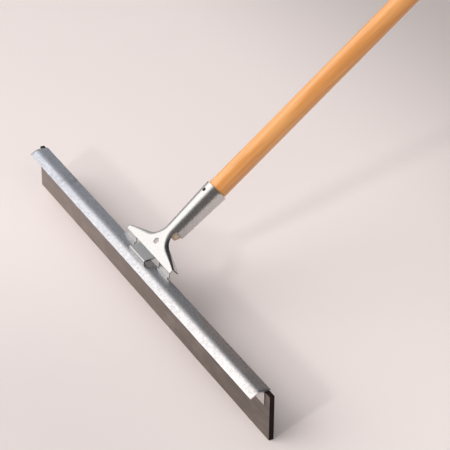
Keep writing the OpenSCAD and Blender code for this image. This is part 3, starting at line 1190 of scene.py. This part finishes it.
        bm = shaped_grid(total, self.plate_rows + self.tube_rows, place)
        bmesh.ops.mirror(bm, geom=everything(bm), matrix=Matrix.Identity(4), merge_dist=1e-4,
                         axis="X")
        bmesh.ops.remove_doubles(bm, verts=bm.verts[:], dist=1e-4)
        middle = axis.fold - axis.plate_normal * axis.sheet / 2.0
        heel_y = middle.x - self.heel_inset
        toe_y = heel_y - self.foot_reach
        half_sheet = axis.sheet / 2.0 / math.cos(axis.folded.rise)
        foot = [middle, Vector((heel_y, axis.folded.top_at(heel_y) + half_sheet)),
                Vector((toe_y, axis.folded.top_at(toe_y) + half_sheet))]
        self.strip(bm, self.foot_inner, axis.wing_half_span, foot)
        self.strip(bm, -axis.wing_half_span, -self.foot_inner, foot)
        nose_y = axis.folded.front_fold.x + self.nose_ahead
        nose = [middle, Vector((nose_y, middle.y - self.nose_drop)),
                Vector((nose_y, axis.folded.top_at(nose_y - half_sheet)))]
        self.strip(bm, -self.tongue_half, self.tongue_half, nose)
        face_along(bm, axis.on_plate(0, 0, 1.0) - axis.on_plate(0, 0, 0.0))
        thicken(bm, axis.sheet)
        bm = carve(bm, self.hole_tool())
        ease_edges(bm, 0.18, angle=55.0)
        return finish_piece(bm, "pressed_socket_bracket", material, Body.HEAD,
                            "socket_bracket")

    def hole_tool(self) -> Shape:
        """Rods for the plate's hole and the fixing hole."""
        axis, through = self.axis, 4.0
        (plate_u, plate_r), (fixing_s, fixing_r) = self.plate_hole, self.fixing_hole
        bm = rod(plate_r, axis.on_plate(0, plate_u, -through), axis.on_plate(0, plate_u, through))
        other = rod(fixing_r, axis.on_axis(fixing_s), axis.on_axis(fixing_s, axis.mouth + OVERRUN))
        mesh = bpy.data.meshes.new("second_rod")
        other.to_mesh(mesh)
        other.free()
        bm.from_mesh(mesh)
        bpy.data.meshes.remove(mesh)
        return bm


@dataclass
class Handle:
    """Turned wooden handle: rounded tip, taper, long straight shaft and domed end."""

    axis: SocketAxis
    radius: float = 12.7
    length: float = 1524.0
    tip_length: float = 8.0
    clearance: float = 0.3
    tip_reduction: float = 2.4
    tip_rounding: float = 2.6
    shoulder_inset: float = 0.35
    shoulder_start: float = 0.4
    shoulder_end: float = 2.6
    taper_start: float = 2.0
    dome_share: float = 0.6
    taper_rings: int = 6
    shaft_rings: int = 60
    tip_steps: int = 5
    dome_steps: int = 8
    pilot_place: float = 60.0
    pilot_radius: float = 2.2
    pilot_depth: float = 10.0
    bare_to: float = 1.1
    steps: int = 56
    wander: float = 0.12

    def profile(self) -> list[Pair]:
        """Radius and distance up the axis of each ring."""
        seat = self.axis.mouth_bore - self.axis.length * self.axis.slope - self.clearance
        tip = seat - self.tip_reduction
        shoulder = (self.radius - seat) / self.axis.slope
        end = self.length - self.tip_length
        dome = self.radius * self.dome_share
        rounding = self.tip_rounding
        points = [(0.0, -self.tip_length)]
        for k in range(self.tip_steps + 1):
            a = math.pi / 2.0 * k / self.tip_steps
            points.append((tip - rounding * (1 - math.sin(a)),
                           -self.tip_length + rounding * (1 - math.cos(a))))
        points += [(seat - self.shoulder_inset, self.shoulder_start), (seat, self.shoulder_end)]
        for k in range(1, self.taper_rings + 1):
            share = k / self.taper_rings
            points.append((mix(seat, self.radius, share), mix(self.taper_start, shoulder, share)))
        points += [(self.radius, mix(shoulder, end - dome, k / self.shaft_rings))
                   for k in range(1, self.shaft_rings + 1)]
        for k in range(1, self.dome_steps + 1):
            a = math.pi / 2.0 * k / self.dome_steps
            points.append((self.radius * math.cos(a), end - dome + dome * math.sin(a)))
        return points

    def build(self, material: Material, bare: Material,
              bore: Material) -> Piece:
        """Models and dresses the handle, its tip in bare wood and the faces of its pilot hole in
        near-black wood, painted shade.
        """
        bm = lathe(self.profile(), self.steps)
        for vert in bm.verts:
            if vert.co.z > self.axis.length:
                flat = Vector((vert.co.x, vert.co.y, 0.0))
                spot = Vector((vert.co.x, vert.co.y, vert.co.z * 0.2))
                turned = unevenness(spot, 30.0, self.wander)
                vert.co -= flat.normalized() * abs(turned)
        axis = self.axis
        turn = Matrix.Rotation(axis.lean - math.pi / 2.0, 4, "X")
        place = Matrix.Translation(axis.on_axis(0.0))
        bmesh.ops.transform(bm, matrix=place @ turn, verts=bm.verts[:])
        top = axis.on_axis(self.pilot_place, self.radius + OVERRUN)
        floor = axis.on_axis(self.pilot_place, self.radius - self.pilot_depth)
        bm = carve(bm, rod(self.pilot_radius, floor, top))
        obj = finish_piece(bm, "turned_handle", material, Body.HANDLE, "handle")
        way, foot = Vector((0.0, *axis.along)), axis.on_axis(self.bare_to) * MM
        dress_where(obj, bare, lambda face: (face.center - foot).dot(way) < 0.0)
        # Painted shade: the faces inside the pilot hole take near-black wood.
        start, end = axis.on_axis(self.pilot_place) * MM, top * MM
        drilled = (self.pilot_radius + 0.1) * MM
        dress_where(obj, bore, lambda face: distance_to_line(face.center, start, end) < drilled)
        return obj


# ---------------------------------------------------------------- the studio


@dataclass(frozen=True)
class SoftLight:
    """One square soft light that stands off from a point in a direction."""

    name: str
    azimuth: float
    elevation: float
    size: float
    power: float
    distance: float = 2.6
    aim: Vector = Vector((0.0, 0.1, 0.0))

    def build(self) -> Piece:
        """Puts the light in the scene; metal shows the room and not the lamp."""
        data = bpy.data.lights.new(self.name, "AREA")
        data.shape, data.size, data.energy = "SQUARE", self.size, self.power
        obj = bpy.data.objects.new(self.name, data)
        flat = math.cos(math.radians(self.elevation))
        way = Vector((flat * math.cos(math.radians(self.azimuth)),
                      flat * math.sin(math.radians(self.azimuth)),
                      math.sin(math.radians(self.elevation))))
        obj.location = self.aim + way * self.distance
        obj.rotation_euler = (-way).to_track_quat("-Z", "Y").to_euler()
        obj.visible_glossy = False
        bpy.context.scene.collection.objects.link(obj)
        return obj


@dataclass(frozen=True)
class Studio:
    """Pale floor, soft lights and the room's surroundings with one large white screen."""

    lights: Sequence[SoftLight] = (
        SoftLight("front_lamp", azimuth=-65.0, elevation=28.0, size=0.22, power=14.5),
        SoftLight("front_softbox", azimuth=-90.0, elevation=40.0, size=1.4, power=11.5),
        SoftLight("side_softbox", azimuth=-128.0, elevation=40.0, size=1.5, power=11.5),
        SoftLight("fill_softbox", azimuth=-15.0, elevation=38.0, size=1.8, power=15.5),
        SoftLight("left_softbox", azimuth=180.0, elevation=45.0, size=1.5, power=5.0),
        SoftLight("back_softbox", azimuth=90.0, elevation=60.0, size=1.5, power=4.5))
    floor_side: float = 40.0
    screen_way: Vector = Vector((-0.50, -0.58, 0.64))
    ceiling_way: Vector = Vector((0.0, 0.707, 0.707))
    dim_way: Vector = Vector((0.80, -0.42, 0.42))
    screen: Colour = (1.84, 1.80, 1.76)
    room: Colour = (0.60, 0.60, 0.605)
    ceiling: Colour = (0.035, 0.045, 0.06)
    horizon: Colour = (0.17, 0.165, 0.165)
    dim: Colour = (0.165, 0.152, 0.145)
    horizon_rise: Pair = (0.0, 0.3)
    ceiling_reach: Pair = (0.60, 0.73)
    dim_reach: Pair = (0.45, 0.8)
    screen_reach: Pair = (0.72, 0.93)
    screen_rise: Pair = (0.12, 0.32)

    def build(self, effects: Effects) -> None:
        """Puts the floor, the lights and the surroundings in the scene."""
        bm = bmesh.new()
        bmesh.ops.create_grid(bm, x_segments=8, y_segments=8, size=self.floor_side / 2.0)
        floor = store(bm, "studio_floor")
        floor.data.materials.append(FloorFinish("pale_floor").material(effects))
        for light in self.lights:
            light.build()
        self._surroundings()

    def _surroundings(self) -> None:
        """Room all round, brightest at the screen and dim on the side behind the camera."""
        world = bpy.data.worlds.new("studio_room")
        bpy.context.scene.world = world
        world.use_nodes = True
        nodes = NodeTree(world.node_tree)
        way = nodes.add("ShaderNodeTexCoord").outputs["Generated"]
        rise = nodes.axis(way, 2)
        to_screen, to_dim, to_ceiling = (
            nodes.add("ShaderNodeVectorMath", {0: way, 1: aim.normalized()},
                      operation="DOT_PRODUCT").outputs["Value"]
            for aim in (self.screen_way, self.dim_way, self.ceiling_way))
        above = nodes.ramp(rise, *self.horizon_rise)
        colour = nodes.blend(above, rgba(self.horizon), rgba(self.room))
        overhead = nodes.ramp(to_ceiling, *self.ceiling_reach)
        colour = nodes.blend(overhead, colour, rgba(self.ceiling))
        colour = nodes.blend(nodes.ramp(to_dim, *self.dim_reach), colour, rgba(self.dim))
        lit = nodes.math("MULTIPLY", nodes.ramp(to_screen, *self.screen_reach),
                         nodes.ramp(rise, *self.screen_rise))
        colour = nodes.blend(lit, colour, rgba(self.screen))
        back = world.node_tree.nodes["Background"]
        world.node_tree.links.new(colour, back.inputs["Color"])


@dataclass(frozen=True)
class Viewpoint:
    """Camera with its place and directions in metres."""

    place: Vector = Vector((1.5406, -0.7311, 1.1489))
    right: Vector = Vector((0.4740, 0.8805, 0.0079))
    look: Vector = Vector((-0.7483, 0.4075, -0.5235))
    lens: float = 137.38
    sensor: float = 36.0

    def build(self) -> Piece:
        """Puts the camera in the scene and makes it the active one."""
        data = bpy.data.cameras.new("camera")
        data.lens, data.sensor_width, data.clip_end = self.lens, self.sensor, 100.0
        camera = bpy.data.objects.new("camera", data)
        back = -self.look.normalized()
        side = (self.right - back * self.right.dot(back)).normalized()
        turn = Matrix((side, back.cross(side), back)).transposed()
        camera.matrix_world = Matrix.Translation(self.place) @ turn.to_4x4()
        bpy.context.scene.collection.objects.link(camera)
        bpy.context.scene.camera = camera
        bpy.context.scene.view_settings.view_transform = "Standard"
        return camera


def report(obj: Piece) -> None:
    """Logs a finished piece and its number of faces."""
    log.info("%s: %d faces", obj.name, len(obj.data.polygons))


def main() -> None:
    """Builds the scraper and its studio in order."""
    logging.basicConfig(level=logging.INFO, format="%(name)s %(message)s")
    Viewpoint().build()
    effects = Effects()
    Studio().build(effects)
    row = BoltRow()
    folded = FoldedFrame(row)
    axis = SocketAxis(folded)
    # The galvanised sheet's tints paint a reflection: darker and bluer to the left, warmer and
    # brighter to the right.
    galvanised = ZincFinish(
        "galvanised_sheet", dark=(0.47, 0.48, 0.505), light=(0.62, 0.625, 0.645), crystal_size=1.8,
        crystal_contrast=0.45, roughness=(0.25, 0.34), relief=0.03, grime_cover=0.28,
        painted_light_tints=((0.88, 0.90, 0.96), (1.15, 1.10, 1.06)))
    plated = ZincFinish(
        "plated_sheet", dark=(0.55, 0.545, 0.54), light=(0.60, 0.595, 0.59), crystal_size=1.4,
        crystal_contrast=0.45, roughness=(0.25, 0.275), relief=0.008, grime_cover=0.24,
        scuff_turn=(math.pi / 2.0 - axis.lean, 0.0, 0.0), scuff_share=0.6)
    fastener = ZincFinish(
        "zinc_fastener", dark=(0.62, 0.62, 0.63), light=(0.80, 0.80, 0.80), crystal_size=0.8,
        crystal_contrast=0.4, roughness=(0.26, 0.36), relief=0.01, grime_cover=0.33)
    rubber = RubberFinish("blade_rubber")
    # Darker copy of the rubber: painted shade on the blade's top and ends.
    shaded_rubber = RubberFinish(
        "shaded_rubber", body=(0.013, 0.006, 0.0055), dust_and_light_colour=(0.036, 0.022, 0.02), roughness=(0.5, 0.7),
        pale=0.0, sheen=0.08)
    wood = WoodFinish("varnished_wood", axis.lean)
    bare_wood = WoodFinish(
        "bare_wood", axis.lean, early=(0.80, 0.62, 0.48), late=(0.66, 0.48, 0.34),
        pore=(0.36, 0.22, 0.12), roughness=(0.6, 0.75), varnish=0.0)
    # Near-black wood for the pilot hole: painted shade.
    painted_bore_shade = WoodFinish(
        "painted_bore_shade", axis.lean, early=(0.05, 0.03, 0.02), late=(0.035, 0.02, 0.014),
        pore=(0.02, 0.012, 0.008), roughness=(0.7, 0.85), varnish=0.0)
    sheet_metal, small_metal = galvanised.material(effects), fastener.material(effects)
    fasteners = Fasteners(row)
    report(RubberBlade(row).build(rubber.material(effects), shaded_rubber.material(effects)))
    report(folded.build(sheet_metal))
    report(ClampBar(row).build(sheet_metal))
    report(fasteners.build_bolts(small_metal))
    report(fasteners.build_washers(small_metal))
    report(fasteners.build_nuts(small_metal))
    report(SocketBracket(axis).build(plated.material(effects)))
    report(Handle(axis).build(wood.material(effects), bare_wood.material(effects),
                              painted_bore_shade.material(effects)))


if __name__ == "__main__":
    main()
